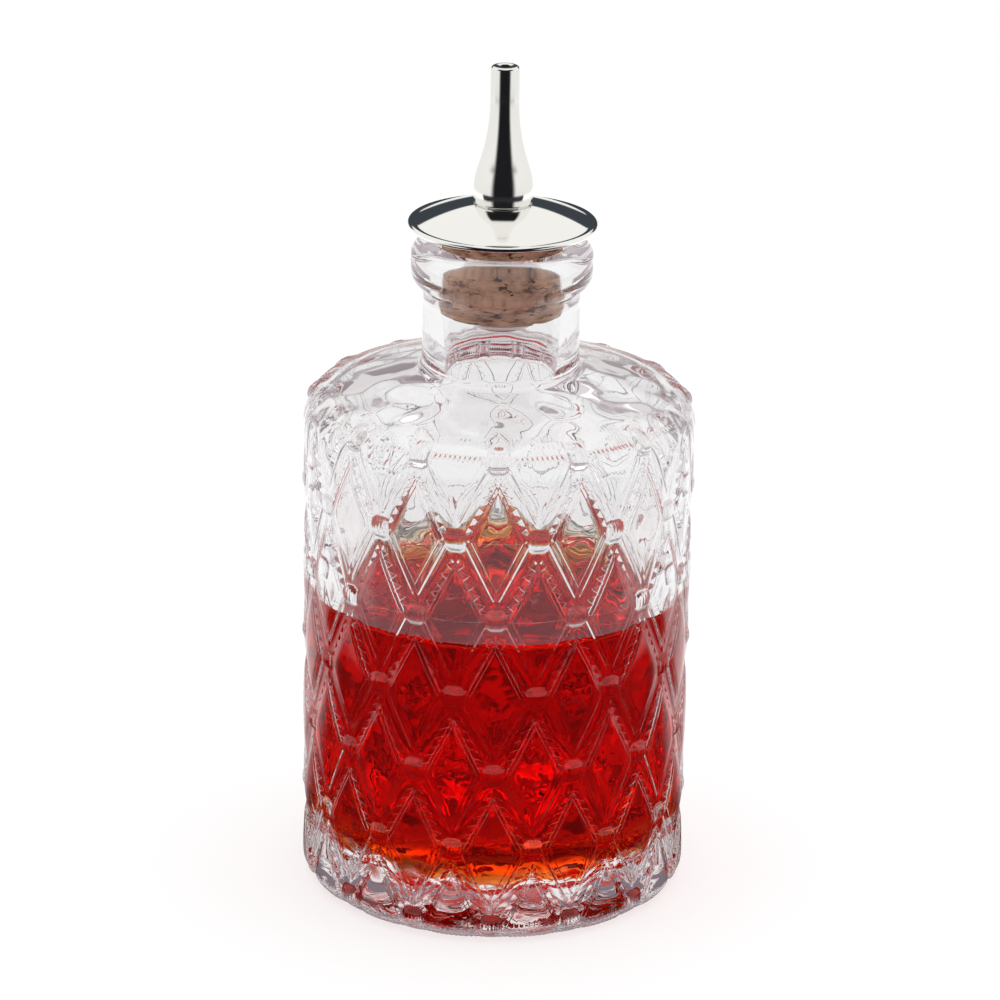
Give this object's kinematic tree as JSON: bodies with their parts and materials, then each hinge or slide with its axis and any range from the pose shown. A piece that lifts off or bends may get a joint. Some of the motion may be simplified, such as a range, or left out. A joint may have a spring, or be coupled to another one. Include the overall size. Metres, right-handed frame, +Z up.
{
  "type": "bitters bottle",
  "caption": "Small round clear glass bitters bottle with a pressed diamond pattern, red liquid inside, and a cork stopper with a domed metal disc and a tapered dasher spout.",
  "frame": {"origin": "centre of the foot, on the surface that the bottle stands on", "axes": "+Z up along the axis of the bottle, towards the spout; -Y towards the front, where one diamond faces the viewer; +X to the viewer's right"},
  "size_m": [0.0596, 0.06, 0.1294],
  "materials": {
    "glass": "clear, fire polished",
    "bitters": "clear red liquid",
    "cork": "natural cork with dark pores",
    "plated_metal": "polished",
    "steel_tube": "drawn"
  },
  "bodies": {
    "bottle": {"bottle": "glass", "bitters": "bitters"},
    "stopper": {"cork": "cork", "cap_disc": "plated_metal", "spout": "plated_metal", "stem_tube": "steel_tube", "retainer": "steel_tube"}
  },
  "joints": [
    {"name": "stopper_lift", "type": "slide", "parent": "bottle", "child": "stopper", "axis": [0, 0, 1], "range_m": [0, 0.045]}
  ]
}
